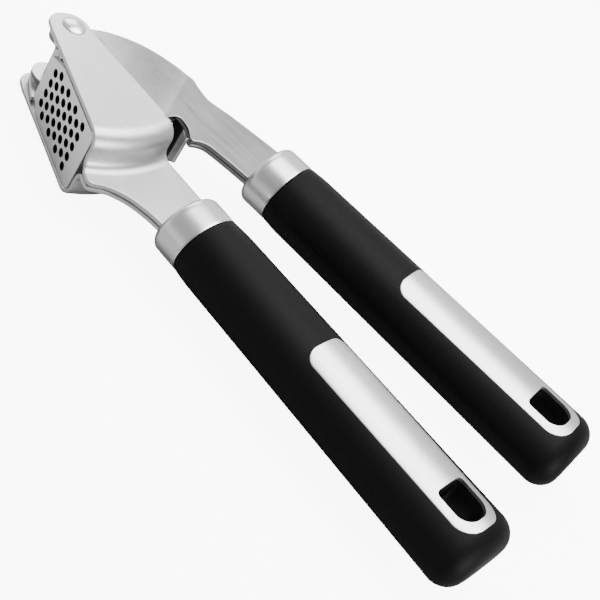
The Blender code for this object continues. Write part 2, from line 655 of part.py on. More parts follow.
def make_basket(materials, collection, cutters, root):
    """Folded basket: perforated face, side walls that run up to the pivot, two end walls."""
    frame = new_empty("basket_frame", collection, root, (0, 0), FACE_ANGLE)
    floor = -FACE_DISTANCE + BASKET_SHEET
    ear = arc((0, 0), EAR_RADIUS, 60, 250, 10)
    outline = [(FACE_START, -FACE_DISTANCE), (FACE_END, -FACE_DISTANCE), (FACE_END, floor),
               (END_WALL, floor), (END_WALL_TOP, BASKET_RIM), (15.0, BASKET_RIM)] + ear
    obj = new_object("basket", flat_mesh("basket", [outline], -BASKET_OUTER, BASKET_OUTER),
                     collection, frame)
    inner = BASKET_OUTER - BASKET_SHEET
    hollow = [(-ABOVE, -ABOVE), (FACE_START - 0.1, -ABOVE), (FACE_START - 0.1, PIVOT_WALL_RIM),
              (FACE_START + BASKET_SHEET, PIVOT_WALL_RIM), (FACE_START + BASKET_SHEET, floor),
              (END_WALL - BASKET_SHEET, floor), (END_WALL_TOP - BASKET_SHEET, ABOVE),
              (-ABOVE, ABOVE)]
    boolean(obj, new_object("basket_hollow", flat_mesh("basket", [hollow], -inner, inner),
                            cutters, frame))
    half = BASKET_OUTER + 0.1
    face = rounded_box(-ABOVE, FACE_END, -half, half, (0.1, FACE_CORNER, FACE_CORNER, 0.1), 5)
    boolean(obj, new_object("basket_face", upright_mesh("basket", face, -ABOVE, ABOVE), cutters,
                            frame), 'INTERSECT')
    for side in (1, -1):
        taper = [(FACE_START - 1, side * (BASKET_OUTER + 1)),
                 (FACE_START - 1, side * (BASKET_OUTER - TAPER_DEPTH)),
                 (FACE_START, side * (BASKET_OUTER - TAPER_DEPTH)),
                 (FACE_START + TAPER_LENGTH, side * (BASKET_OUTER + 0.1)),
                 (FACE_START + TAPER_LENGTH, side * (BASKET_OUTER + 1))]
        corner = upright_mesh("basket", taper, -ABOVE, TAPER_TOP)
        boolean(obj, new_object(f"basket_taper_{side}", corner, cutters, frame))
    boolean(obj, new_object("basket_holes", perforation_mesh("basket"), cutters, frame))
    boolean(obj, new_object("basket_pivot_hole", cylinder_mesh("basket", PIVOT_HOLE, -ABOVE, ABOVE),
                            cutters, frame))
    return finish(obj, materials["brushed_steel"])


def make_plunger(materials, collection, cutters, press_frame):
    """Plunger on its pin: a flat foot as wide as the chamber and a stem up to the pin."""
    turn = FACE_ANGLE + PRESS_STROKE * (1 + PLUNGER_RATIO)
    frame = new_empty("plunger_frame", collection, press_frame, plunger_pin(), turn)
    low = -PLUNGER_HEIGHT
    foot = rounded_box(-FOOT_BACK, FOOT_FRONT, low, low + FOOT_THICK, (0.2,) * 4, 2)
    obj = new_object("plunger", flat_mesh("plunger", [foot], -FOOT_HALF_WIDTH, FOOT_HALF_WIDTH),
                     collection, frame)
    stem = [(-STEM_BASE, low + FOOT_THICK / 2), (STEM_BASE, low + FOOT_THICK / 2)] \
        + arc((0, 0), STEM_RADIUS, -10, 190, 12)
    boolean(obj, new_object("plunger_stem", flat_mesh("plunger", [stem], -STEM_HALF_THICK,
                                                      STEM_HALF_THICK), cutters, frame), 'UNION')
    drill = cylinder_mesh("plunger", PIN_RADIUS + FIT, -ABOVE, ABOVE)
    boolean(obj, new_object("plunger_drill", drill, cutters, frame))
    finish(obj, materials["brushed_steel"])
    pin = cylinder_mesh("plunger_pin", PIN_RADIUS, -PIN_HALF_LENGTH, PIN_HALF_LENGTH)
    finish(new_object("plunger_pin", pin, collection, frame), materials["polished_steel"])


def place_on_floor(root, collection):
    """Move the assembly so that the middle of its underside is the origin."""
    bpy.context.view_layer.update()
    graph = bpy.context.evaluated_depsgraph_get()
    corners = []
    for obj in collection.objects:
        if obj.type == 'MESH':
            shape = obj.evaluated_get(graph)
            corners += [shape.matrix_world @ vert.co for vert in shape.data.vertices]
    low = Vector(min(c[i] for c in corners) for i in range(3))
    high = Vector(max(c[i] for c in corners) for i in range(3))
    root.location = (-(low.x + high.x) / 2, -(low.y + high.y) / 2, -low.z)


def main():
    """Clear the scene and build the whole press."""
    for obj in list(bpy.data.objects):
        bpy.data.objects.remove(obj)
    collection, cutters = make_collections()
    materials = make_materials()
    root = new_empty("garlic_press_root", collection, None)
    make_basket_arm(materials, collection, cutters, root)
    press_frame = make_press_arm(materials, collection, cutters, root)
    make_pivot(materials, collection, root)
    make_basket(materials, collection, cutters, root)
    make_plunger(materials, collection, cutters, press_frame)
    place_on_floor(root, collection)


main()
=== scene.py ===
"""Looks of a garlic press: stamped steel arms, soft black grips, a perforated basket and a plunger.

Plan coordinates are millimetres from the pivot, with x along the basket arm's handle; a handle's
own coordinates are turned with it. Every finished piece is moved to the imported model's frame.
"""
import math

import bmesh
import bpy
import numpy as np
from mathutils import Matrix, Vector


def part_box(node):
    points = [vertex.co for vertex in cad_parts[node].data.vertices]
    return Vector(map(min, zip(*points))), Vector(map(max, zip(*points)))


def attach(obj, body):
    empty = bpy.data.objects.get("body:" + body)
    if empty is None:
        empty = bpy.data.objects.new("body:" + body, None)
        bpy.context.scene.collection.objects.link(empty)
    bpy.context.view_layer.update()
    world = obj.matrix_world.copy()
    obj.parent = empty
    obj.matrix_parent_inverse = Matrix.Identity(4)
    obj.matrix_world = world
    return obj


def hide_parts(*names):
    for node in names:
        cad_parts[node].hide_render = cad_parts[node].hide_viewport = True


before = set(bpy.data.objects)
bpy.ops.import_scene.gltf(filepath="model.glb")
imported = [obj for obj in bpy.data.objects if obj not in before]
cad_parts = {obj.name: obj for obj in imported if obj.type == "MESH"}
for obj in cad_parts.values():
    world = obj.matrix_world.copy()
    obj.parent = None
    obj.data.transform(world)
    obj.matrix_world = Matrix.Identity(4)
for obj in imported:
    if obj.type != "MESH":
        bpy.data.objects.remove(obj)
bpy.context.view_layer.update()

bl_info = {
    "name": "Garlic press looks",
    "version": (1, 0, 0),
    "blender": (4, 5, 0),
    "location": "View3D > Sidebar > Garlic press",
    "description": "Builds the finished surfaces of a hinged garlic press",
    "category": "Object",
}

MM = 0.001
RIVET_LOW, RIVET_HIGH = (np.array(corner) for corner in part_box("pivot_rivet"))
PIVOT = (RIVET_LOW + RIVET_HIGH) / 2

# Sheet metal, in millimetres.
SHEET_OUTER = 1.5
SHEET_THICK = 1.35
CHEEK_OUTER = 12.0
STEP_CENTRE = np.array([-0.8, -3.5])
STEP_RADIUS = 44.0
SHOULDER_RADIUS = 5.0
STEP_FILLET = 3.0
PROFILE_START = 13.0
PROFILE_END = 66.0
CHEEK_EDGE = 0.4
FACE_ANGLE = math.radians(-21.3)
FACE_DISTANCE = 7.3
EAR_RADIUS = 5.1
ARM_TOP = 4.6
NOTCH_PLACE = 37.2
NOTCH_DEPTH = 0.9
NOTCH_WIDTH = 0.8
NECK_INSIDE = 66.2
CREASE_POINT = np.array([22.4, 28.0])
CREASE_ANGLE = math.radians(-60.3)
WEDGE_LENGTH = 27.0
WEDGE_TOP = 7.8
WEDGE_EDGE = 0.35
CREASE_WIDTH = 3.0
EAR_BEND_WIDTH = 6.0

# Rivet, in millimetres and degrees.
RIVET_DOME_RADIUS = 3.25
RIVET_DOME_HALF_AXIS = 1.901
RIVET_DOME_START = 38.0
RIVET_STEP = 0.25
RIVET_PROUD = 0.04
RIVET_RIM = ((3.4, 0.18), (3.5, 0.08), (3.47, 0.0), (2.0, 0.0))

# Where the basket's inside gets painted shade, in millimetres along and across the perforated
# face, and the deeper root of the stop plate, which also gets painted shade, in millimetres along
# X.
BASKET_INSIDE = 9.0
BASKET_START = 9.5
BASKET_END = 40.0
NARROW_INSIDE = 7.2
NARROW_END = 15.0
ROOT_PLACE = 38.5
ROOT_LENGTH = 4.0
ROOT_DROP = 3.0

# Painted shade and highlight on the steel: each tone is a share of the way from the steel's
# colour to the dark one, and each place, radius, rise and fade is in millimetres.
PAINTED_SHADE_COLOUR = (0.03, 0.03, 0.03, 1.0)
# Painted shade on the press arm away from the pivot, and a painted highlight along its crease.
ARM_SHADE_START, ARM_SHADE_FADE, ARM_SHADE = 6.0, 24.0, 0.43
RIDGE_LIGHT, RIDGE_RISE, RIDGE_FADE = 0.22, 1.2, 4.0
# Painted shade on the press arm's cut edges.
EDGE_SHADE = 0.7
# Painted shade on the basket arm's neck.
CHEEK_TONE, NECK_SHADE = 0.05, 0.13
NECK_SHADE_START, NECK_SHADE_FADE = 46.0, 8.0
# Painted shade on the stop plate's root.
STOP_SHADE_END, STOP_SHADE_FADE = 35.9, 0.8
EDGE_SLANT = 0.55  # upright part of a face's normal below which it counts as a cut edge

# Handles, in their own coordinates.
BASKET_HANDLE = ((0.0, -5.5), 0.0)
PRESS_HANDLE = ((-6.6, 28.1), math.radians(6.93))
FERRULE_FRONT = 63.0
FERRULE_RIM = 2.4
FERRULE_END = 72.75
FERRULE_FACE = 1.6
FERRULE_WALL = 0.9
FERRULE_LIP = 0.25
FERRULE_LIP_MIDDLE = 0.08
SLOT_HALF_WIDTH = 9.75
SLOT_SHIFT = 0.3
SEAM = 0.2
GRIP_START = 72.9
GRIP_END = 183.2
GRIP_END_RADIUS = 6.5
GRIP_HALF_WIDTH = 11.2
GRIP_HALF_WIDTH_END = 15.3
GRIP_HALF_HEIGHT = 9.3
GRIP_LIP = 0.5
INLAY_START = 115.8
INLAY_END = 177.5
INLAY_HALF_WIDTH = 8.0
INLAY_NEAR_CORNER = 4.0
INLAY_FAR_CORNER = 5.8
INLAY_PROUD = 0.08
INLAY_THICK = 1.1
INLAY_EDGE = 0.22
HOLE_START = 163.2
HOLE_END = 174.9
HOLE_HALF_WIDTH = 5.55
HOLE_CORNERS = (1.6, 4.6)
HOLE_REACH = 14.0
LINER_WALL = 0.9
LINER_SECTION = ((0.0, 7.4), (0.0, -8.4), (0.12, -8.9), (0.5, -9.1), (0.95, -9.0), (0.95, 7.4))

# Grain and wear: noise scales per metre.
FINE_STREAKS = (110.0, 5200.0, 5200.0)
BROAD_STREAKS = (45.0, 1500.0, 1500.0)
BROAD_SHARE = 0.6
PATCH_SCALE = 45.0
PORE_SCALE = 5200.0
SMUDGE_SCALE = 55.0
DUST = (0.12, 0.12, 0.12, 1.0)
DUST_START = 0.62

# Stage, in metres; the sky fades between two heights and between two X values of its direction.
# A light: name, place, side and the setting that holds its power.
FLOOR_HALF = 3.0
SKY_HEIGHTS = (0.1, 0.55)
SKY_SIDES = (-0.6, 0.35)
LIGHTS = (("overhead_softbox", (0.0, 0.14, 0.45), 0.36, "key_power"),
          ("left_softbox", (-0.34, 0.2, 0.24), 0.2, "fill_power"),
          ("back_softbox", (-0.16, 0.5, 0.26), 0.25, "back_power"),
          ("right_softbox", (0.5, -0.02, 0.17), 0.22, "side_power"))

CAMERA_PLACE = (0.11951, -0.30999, 0.26111)
CAMERA_TURN = (46.194, -27.594, 44.128)
CAMERA_LENS = 90.29

# Materials by name, filled once by make_looks.
LOOK = {}


# ---------------------------------------------------------------- surfaces


def surface(name, points, wrap=False, caps=True):
    """Mesh object of a grid of points (rows, columns, 3): one quad for each pair of neighbours.
    With wrap the last column joins the first; with caps the first and last rows are filled."""
    rows, columns = points.shape[:2]
    index = np.arange(rows * columns).reshape(rows, columns)
    after = np.roll(index, -1, axis=1)
    if not wrap:
        index, after = index[:, :-1], after[:, :-1]
    quads = np.stack([index[:-1], after[:-1], after[1:], index[1:]], axis=-1).reshape(-1, 4)
    faces = quads.tolist()
    if caps:
        first = np.arange(columns)
        faces += [first.tolist(), (first + (rows - 1) * columns).tolist()]
    mesh = bpy.data.meshes.new(name)
    mesh.from_pydata(points.reshape(-1, 3).tolist(), [], faces)
    return tidy_mesh(name, mesh)


def tidy_mesh(name, mesh):
    """Object for a mesh with its doubles merged and its faces turned outwards."""
    shape = bmesh.new()
    shape.from_mesh(mesh)
    bmesh.ops.remove_doubles(shape, verts=shape.verts, dist=0.000002)
    bmesh.ops.recalc_face_normals(shape, faces=shape.faces)
    shape.to_mesh(mesh)
    shape.free()
    piece = bpy.data.objects.new(name, mesh)
    bpy.context.scene.collection.objects.link(piece)
    return piece


def to_world(points, foot=(0.0, 0.0), turn=0.0):
    """Metres in the model's frame from millimetres in a plan frame with that foot and turn."""
    x = foot[0] + points[..., 0] * math.cos(turn) - points[..., 1] * math.sin(turn)
    y = foot[1] + points[..., 0] * math.sin(turn) + points[..., 1] * math.cos(turn)
    return np.stack([x, y, points[..., 2]], axis=-1) * MM + PIVOT


def arc(centre, radius, start, end, count):
    """Points of a plan arc between two angles in degrees."""
    angle = np.radians(np.linspace(start, end, count))
    return np.stack([centre[0] + radius * np.cos(angle),
                     centre[1] + radius * np.sin(angle)], axis=1)


def curve(points, per_span=12):
    """Catmull-Rom curve through plan points, sampled evenly in each span."""
    knots = np.array([points[0], *points, points[-1]], float)
    t = np.linspace(0, 1, per_span, endpoint=False)[:, None]
    spans = []
    for p0, p1, p2, p3 in zip(knots, knots[1:], knots[2:], knots[3:]):
        spans.append(0.5 * (2 * p1 + (p2 - p0) * t + (2 * p0 - 5 * p1 + 4 * p2 - p3) * t ** 2
                            + (3 * p1 - p0 - 3 * p2 + p3) * t ** 3))
    return np.concatenate([*spans, knots[-1:]])


def lengths(path):
    """Length along a path up to each of its points."""
    steps = np.linalg.norm(np.diff(path, axis=0), axis=1)
    return np.concatenate([[0], np.cumsum(steps)])


def at_length(path, want):
    """Points of a path at the given lengths along it."""
    length = lengths(path)
    return np.stack([np.interp(want, length, path[:, 0]), np.interp(want, length, path[:, 1])],
                    axis=1)


def smoothstep(x):
    """0 below 0, 1 above 1 and 3x^2 - 2x^3 between."""
    x = np.clip(x, 0, 1)
    return x * x * (3 - 2 * x)


def fillet(points, radii, steps=8):
    """Polyline whose inner corners are replaced by tangent arcs of the given radii."""
    result = [np.array(points[0], float)]
    for before, corner, after, radius in zip(points, points[1:], points[2:], radii):
        corner = np.array(corner, float)
        a = np.array(before, float) - corner
        b = np.array(after, float) - corner
        a /= np.linalg.norm(a)
        b /= np.linalg.norm(b)
        half = math.acos(float(np.clip(a @ b, -1, 1))) / 2
        middle = (a + b) / np.linalg.norm(a + b)
        centre = corner + middle * radius / math.sin(half)
        reach = radius / math.tan(half)
        start = corner + a * reach - centre
        end = corner + b * reach - centre
        turn = math.atan2(start[0] * end[1] - start[1] * end[0], start @ end)
        for k in range(steps + 1):
            angle = turn * k / steps
            c, s = math.cos(angle), math.sin(angle)
            result.append(centre + np.array([c * start[0] - s * start[1],
                                             s * start[0] + c * start[1]]))
    result.append(np.array(points[-1], float))
    return np.array(result)


def sheet_section(first, last, ruling, thick, radius, count):
    """Closed loops round a sheet, one for each station. first and last are the stations' edge
    points; ruling(share) gives the outer and the inner surface at that share of the way across."""
    span = np.maximum(np.linalg.norm(last - first, axis=1), 1e-6)
    angles = np.radians(np.linspace(0, 90, 5))
    inset = radius * (1 - np.sin(angles))
    depth = radius * (1 - np.cos(angles))
    loop = []
    near = np.minimum(radius / span, 0.45)
    for share in np.linspace(0, 1, count):
        loop.append((near + (1 - 2 * near) * share, 0.0))
    for i, d in zip(inset[1:], depth[1:]):
        loop.append((1 - np.minimum(i / span, 0.45), d / thick))
    for i, d in zip(inset[::-1], depth[::-1]):
        loop.append((1 - np.minimum(i / span, 0.45), 1 - d / thick))
    for share in np.linspace(1, 0, count)[1:]:
        loop.append((near + (1 - 2 * near) * share, 1.0))
    for i, d in zip(inset[1:], depth[1:]):
        loop.append((np.minimum(i / span, 0.45), 1 - d / thick))
    for i, d in zip(inset[::-1][:-1], depth[::-1][:-1]):
        loop.append((np.minimum(i / span, 0.45), d / thick))
    columns = []
    for share, deep in loop:
        outer, inner = ruling(np.broadcast_to(share, span.shape))
        columns.append(outer + (inner - outer) * deep)
    return np.stack(columns, axis=1)


def finish_piece(piece, body, material, node):
    """Smooth shading, material, riding body, material slot and the CAD node a piece stands for."""
    piece.data.materials.clear()
    piece.data.materials.append(material)
    piece.data.shade_smooth()
    piece.data.set_sharp_from_angle(angle=math.radians(38))
    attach(piece, body)
    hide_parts(node)


def cut(piece, cutter):
    """Take a closed cutter out of a piece and keep the result as its mesh."""
    modifier = piece.modifiers.new("cut", 'BOOLEAN')
    modifier.object = cutter
    graph = bpy.context.evaluated_depsgraph_get()
    mesh = bpy.data.meshes.new_from_object(piece.evaluated_get(graph))
    piece.modifiers.clear()
    piece.data = mesh
    bpy.data.objects.remove(cutter)


def soften(piece, width, segments, degrees):
    """Round every edge sharper than the given angle."""
    bevel = piece.modifiers.new("soft edges", 'BEVEL')
    bevel.width = width * MM
    bevel.segments = segments
    bevel.limit_method = 'ANGLE'
    bevel.angle_limit = math.radians(degrees)


def prism(name, outline, low, high, place):
    """Straight walls on a closed plan outline between two heights."""
    rings = [np.column_stack([outline, np.full(len(outline), z)]) for z in (low, high)]
    return surface(name, to_world(np.stack(rings), *place), wrap=True)


# ---------------------------------------------------------------- stampings


def cheek_outline():
    """Upper and lower edges of a basket-arm stamping, from the ear's tip to inside the ferrule."""
    back = math.degrees(FACE_ANGLE) + 180
    along = np.array([math.cos(FACE_ANGLE), math.sin(FACE_ANGLE)])
    outward = np.array([math.sin(FACE_ANGLE), -math.cos(FACE_ANGLE)])
    low_centre = outward * (FACE_DISTANCE - EAR_RADIUS)
    x = np.linspace(4.0, NECK_INSIDE, 600)
    top = ARM_TOP - NOTCH_DEPTH * np.exp(-((x - NOTCH_PLACE) / NOTCH_WIDTH) ** 2)
    upper = np.concatenate([arc((0, 0), EAR_RADIUS, back, 68, 30), np.column_stack([x, top])])
    edge = outward * (FACE_DISTANCE + 0.2) + along * np.linspace(2, 45.4, 200)[:, None]
    corner = curve([edge[-1], along * 46.6 + outward * (FACE_DISTANCE + 0.6), (43.0, -25.3),
                    (44.6, -24.7), (46.0, -22.6), (48.2, -20.0), (52.9, -17.0), (59.5, -15.0),
                    (NECK_INSIDE, -14.1)])
    lower = np.concatenate([arc((0, 0), EAR_RADIUS, back, back + 1, 2),
                            arc(low_centre, EAR_RADIUS, back, back + 90, 30), edge, corner[1:]])
    return upper, lower


def step_profile():
    """(radius, height) along a basket-arm stamping, outside and inside: flat cheek, shoulder,
    wall, fillet and flat neck; the inside is the outside moved along its normal."""
    outside = fillet([(PROFILE_START, CHEEK_OUTER), (STEP_RADIUS, CHEEK_OUTER),
                      (STEP_RADIUS, SHEET_OUTER), (PROFILE_END, SHEET_OUTER)],
                     [SHOULDER_RADIUS, STEP_FILLET], 10)
    flat = np.linspace(0, 1, 60)[:-1, None]
    outside = np.concatenate([outside[0] + (outside[1] - outside[0]) * flat, outside[1:-1],
                              outside[-2] + (outside[-1] - outside[-2]) * flat[1:]])
    way = np.gradient(outside, axis=0)
    way /= np.linalg.norm(way, axis=1)[:, None]
    normal = np.stack([-way[:, 1], way[:, 0]], axis=1)
    return outside, outside - normal * SHEET_THICK


def crossing(path, radius):
    """Angle about the step's centre at which a path first leaves each radius. The distances are
    made to rise a little at every point, since they are looked up in order."""
    offset = path - STEP_CENTRE
    reach = np.maximum.accumulate(np.linalg.norm(offset, axis=1))
    reach += np.arange(len(reach)) * 1e-7
    angle = np.interp(radius, reach, np.unwrap(np.arctan2(offset[:, 1], offset[:, 0])))
    return (angle + math.pi) % (2 * math.pi) - math.pi


def cheek_surface(side):
    """Basket-arm stamping. Past the ear each station is an arc about the step's centre, from the
    lower edge to the upper one, at the radius and height of the profile; in the ear the stations
    are chords that turn gradually into such arcs."""
    upper, lower = cheek_outline()
    outside, inside = step_profile()
    start = outside[0, 0]
    low_angle = crossing(lower, outside[:, 0])
    high_angle = crossing(upper, outside[:, 0])

    shares = np.linspace(0.02, 1, 41)[:-1]

    def ear_part(path):
        within = path[:int(np.argmax(np.linalg.norm(path - STEP_CENTRE, axis=1) > start))]
        return at_length(within, shares * lengths(within)[-1])

    ear_low, ear_high = ear_part(lower), ear_part(upper)
    blend = smoothstep((shares - 0.3) / 0.7)
    stations = len(shares)

    def polar(radius, angle):
        return np.stack([STEP_CENTRE[0] + radius * np.cos(angle),
                         STEP_CENTRE[1] + radius * np.sin(angle)], axis=1)

    def ruling(share):
        ear_share, arm_share = share[:stations], share[stations:]
        chord = ear_low + (ear_high - ear_low) * ear_share[:, None]
        a, b = ear_low - STEP_CENTRE, ear_high - STEP_CENTRE
        ra, rb = np.linalg.norm(a, axis=1), np.linalg.norm(b, axis=1)
        ta, tb = np.arctan2(a[:, 1], a[:, 0]), np.arctan2(b[:, 1], b[:, 0])
        bow = polar(ra + (rb - ra) * ear_share, ta + (tb - ta) * ear_share)
        ear = chord + (bow - chord) * blend[:, None]
        angle = low_angle + (high_angle - low_angle) * arm_share
        faces = []
        for profile in (outside, inside):
            arm = polar(profile[:, 0], angle)
            height = np.concatenate([np.full(stations, profile[0, 1]), profile[:, 1]])
            faces.append(np.column_stack([np.concatenate([ear, arm]), height]))
        return faces

    zeros = np.zeros(stations + len(outside))
    first, last = ruling(zeros)[0], ruling(zeros + 1)[0]
    loops = sheet_section(first, last, ruling, SHEET_THICK, CHEEK_EDGE, count=36)
    loops[..., 2] *= side
    return loops


def wedge_height(plan):
    """Height of a press-arm stamping: flat in the neck and in the ear, rising steadily between,
    with the two bends rounded as parabolas."""
    run = crease_run(plan)
    slope = (WEDGE_TOP - SHEET_OUTER) / WEDGE_LENGTH

    def ramp(x, width):
        inside = np.clip(x + width / 2, 0, width)
        return inside ** 2 / (2 * width) + np.maximum(x - width / 2, 0)

    rise = ramp(run, CREASE_WIDTH) - ramp(run - WEDGE_LENGTH, EAR_BEND_WIDTH)
    return SHEET_OUTER + slope * rise


def press_outline():
    """Upper and lower edges of a press-arm stamping, from the ear to inside the ferrule."""
    foot, turn = PRESS_HANDLE
    end = [(foot[0] + NECK_INSIDE * math.cos(turn) - y * math.sin(turn),
            foot[1] + NECK_INSIDE * math.sin(turn) + y * math.cos(turn)) for y in (9.4, -9.3)]
    ear = arc((0, 0), EAR_RADIUS + 0.3, 240, 168, 30)
    upper = np.concatenate([ear, curve([(-1.5, 10.5), (2.6, 21.0), (7.1, 28.5), (13.3, 35.0),
                                        (18.5, 38.2), (22.5, 37.6), (26.8, 37.1), (30.1, 37.9),
                                        (35.0, 39.9), (42.0, 42.2), (51.7, 45.0), end[0]])])
    arch = curve([(4.6, -2.9), (8.5, 0.8), (13.0, 2.6), (17.5, 0.8), (21.4, -3.2)])
    boss = arc(pin_plan(), 4.0, 190, 350, 30)
    rest = curve([(30.4, 2.0), (30.0, 10.0), (30.2, 17.5), (30.9, 20.9), (33.6, 21.3),
                  (36.2, 20.6), (39.7, 18.6), (41.2, 20.8), (43.5, 22.7), (50.6, 24.7), end[1]])
    lower = np.concatenate([arc((0, 0), EAR_RADIUS + 0.3, 241, 315, 20), arch, boss, rest])
    return upper, lower


def pin_plan():
    """Plan place of the plunger's pin, from its CAD node."""
    low, high = (np.array(corner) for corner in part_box("plunger_pin"))
    return (((low + high) / 2 - PIVOT) / MM)[:2]


def matched(path, marks, counts):
    """Points of a path: between each pair of marks, the given number of evenly spaced points."""
    length = lengths(path)
    places = [length[int(np.argmin(np.linalg.norm(path - np.array(m), axis=1)))] for m in marks]
    places[0], places[-1] = 0.0, length[-1]
    spans = [np.linspace(a, b, n, endpoint=False) for a, b, n in zip(places, places[1:], counts)]
    return at_length(path, np.concatenate([*spans, places[-1:]]))


def press_surface(side):
    """Press-arm stamping: straight stations between both edges, nearly parallel to the crease,
    lifted to the wedge's height; the inside is the same surface one sheet lower."""
    upper, lower = press_outline()
    counts = (14, 44, 50, 24, 50)
    high = matched(upper, [upper[0], (-1.5, 10.5), (7.1, 28.5), (20.5, 37.9), (28.4, 37.4),
                           upper[-1]], counts)
    low = matched(lower, [lower[0], (4.6, -2.9), (25.6, -8.6), (30.2, 18.6), (39.7, 18.6),
                          lower[-1]], counts)
    high, low = high[1:], low[1:]

    def ruling(share):
        plan = low + (high - low) * share[:, None]
        height = wedge_height(plan)
        return (np.column_stack([plan, height]), np.column_stack([plan, height - SHEET_THICK]))

    loops = sheet_section(low, high, ruling, SHEET_THICK, WEDGE_EDGE, count=60)
    loops[..., 2] *= side
    return loops


# ---------------------------------------------------------------- handles


def grip_half_sizes(x):
    """Half width and half height of the grip at x: a slight flare behind the ferrule, a steady
    growth in width, and a quarter circle at the end."""
    x = np.asarray(x, float)
    share = (x - GRIP_START) / (GRIP_END - GRIP_START)
    lip = GRIP_LIP * np.clip((x - GRIP_START) / 5.0, 0, 1)
    wide = GRIP_HALF_WIDTH + lip + (GRIP_HALF_WIDTH_END - GRIP_HALF_WIDTH - GRIP_LIP) * share
    high = GRIP_HALF_HEIGHT + lip / 2
    over = np.clip(x - (GRIP_END - GRIP_END_RADIUS), 0, GRIP_END_RADIUS)
    inset = GRIP_END_RADIUS - np.sqrt(np.maximum(GRIP_END_RADIUS ** 2 - over ** 2, 0))
    return wide - inset, high - inset


def loft(name, x, wide, high, place, count=96):
    """Rings (x, w cos t, h sin t) at stations x with half sizes w and h, closed at both ends."""
    angle = np.linspace(0, 2 * math.pi, count, endpoint=False)
    y = np.asarray(wide)[:, None] * np.cos(angle)
    z = np.asarray(high)[:, None] * np.sin(angle)
    points = np.stack([np.broadcast_to(np.asarray(x)[:, None], y.shape), y, z], axis=-1)
    return surface(name, to_world(points, *place), wrap=True)


def d_outline(x0, x1, half, radii, steps=10):
    """Plan outline with its own corner radius at the near and the far end."""
    near, far = radii
    return np.concatenate([arc((x0 + near, -half + near), near, 180, 270, steps),
                           arc((x1 - far, -half + far), far, 270, 360, steps),
                           arc((x1 - far, half - far), far, 0, 90, steps),
                           arc((x0 + near, half - near), near, 90, 180, steps)])


def hole_outline(spread=0.0):
    """Outline of the hanging hole, widened by spread."""
    return d_outline(HOLE_START - spread, HOLE_END + spread, HOLE_HALF_WIDTH + spread,
                     [radius + spread for radius in HOLE_CORNERS])


def crown(x, y):
    """Height of the grip's upper surface over a plan point of the handle."""
    wide, high = grip_half_sizes(np.minimum(x, GRIP_END - GRIP_END_RADIUS))
    return high * np.sqrt(np.maximum(1 - (y / wide) ** 2, 0))


def inlay_surface():
    """Plate on the grip's crown: rows across it at each x, whose half width falls along a quarter
    circle at each end, as loops round the plate's section."""
    x = INLAY_START + (INLAY_END - INLAY_START) * (1 - np.cos(np.linspace(0, math.pi, 120))) / 2

    def corner(distance, radius):
        missing = radius - np.minimum(distance, radius)
        return radius - np.sqrt(np.maximum(radius ** 2 - missing ** 2, 0))

    half = (INLAY_HALF_WIDTH - corner(x - INLAY_START, INLAY_NEAR_CORNER)
            - corner(INLAY_END - x, INLAY_FAR_CORNER))
    low = np.column_stack([x, -half])
    high = np.column_stack([x, half])

    def ruling(share):
        plan = low + (high - low) * share[:, None]
        top = crown(plan[:, 0], plan[:, 1]) + INLAY_PROUD
        return (np.column_stack([plan, top]), np.column_stack([plan, top - INLAY_THICK]))

    return sheet_section(low, high, ruling, INLAY_THICK, INLAY_EDGE, count=40)


def build_handle(arm, place):
    """Ferrule, grip, inlay plate and hole liner of one arm."""
    rim = np.radians(np.linspace(0, 90, 12))
    straight = np.linspace(FERRULE_FRONT + FERRULE_RIM, FERRULE_END - FERRULE_LIP, 12)[1:]
    x = np.concatenate([FERRULE_FRONT + FERRULE_RIM * (1 - np.cos(rim)), straight,
                        [FERRULE_END - FERRULE_LIP_MIDDLE, FERRULE_END]])
    inset = np.concatenate([FERRULE_RIM * (1 - np.sin(rim)), np.zeros(len(straight)),
                            [FERRULE_LIP_MIDDLE, FERRULE_LIP]])
    ferrule = loft(arm + "_collar", x, GRIP_HALF_WIDTH - inset, GRIP_HALF_HEIGHT - inset, place)
    cut(ferrule, loft("bore", [FERRULE_FRONT + FERRULE_FACE, FERRULE_END + 1],
                      [GRIP_HALF_WIDTH - FERRULE_WALL] * 2,
                      [GRIP_HALF_HEIGHT - FERRULE_WALL] * 2, place))
    slot = d_outline(FERRULE_FRONT - 2, FERRULE_FRONT + 3, SLOT_HALF_WIDTH, (SEAM, SEAM), 2)
    cut(ferrule, prism("slot", slot + np.array([0, SLOT_SHIFT]), -SHEET_OUTER - SEAM,
                       SHEET_OUTER + SEAM, place))
    finish_piece(ferrule, arm, LOOK["collar"], arm + "_ferrule")

    end = np.radians(np.concatenate([np.linspace(0, 84, 22), [87.5, 89.5]]))
    x = np.concatenate([[GRIP_START, GRIP_START + 0.12, GRIP_START + 0.4],
                        np.linspace(GRIP_START + 1, GRIP_END - GRIP_END_RADIUS, 70),
                        GRIP_END - GRIP_END_RADIUS + GRIP_END_RADIUS * np.sin(end)[1:]])
    wide, high = grip_half_sizes(x)
    trim = np.zeros(len(x))
    trim[:3] = (0.4, 0.15, 0.0)
    grip = loft(arm + "_handle_cover", x, wide - trim, high - trim, place, count=128)
    cut(grip, prism("hole", hole_outline(LINER_WALL), -HOLE_REACH, HOLE_REACH, place))
    finish_piece(grip, arm, LOOK["soft"], arm + "_grip")

    plate = surface(arm + "_inlay_plate", to_world(inlay_surface(), *place), wrap=True)
    cut(plate, prism("hole", hole_outline(), -HOLE_REACH, HOLE_REACH, place))
    soften(plate, 0.3, 3, 50)
    finish_piece(plate, arm, LOOK["plate"], arm + "_inlay")

    liner = hole_liner(arm + "_hole_sleeve", place)
    finish_piece(liner, arm, LOOK["nylon"], arm + "_hole_liner")


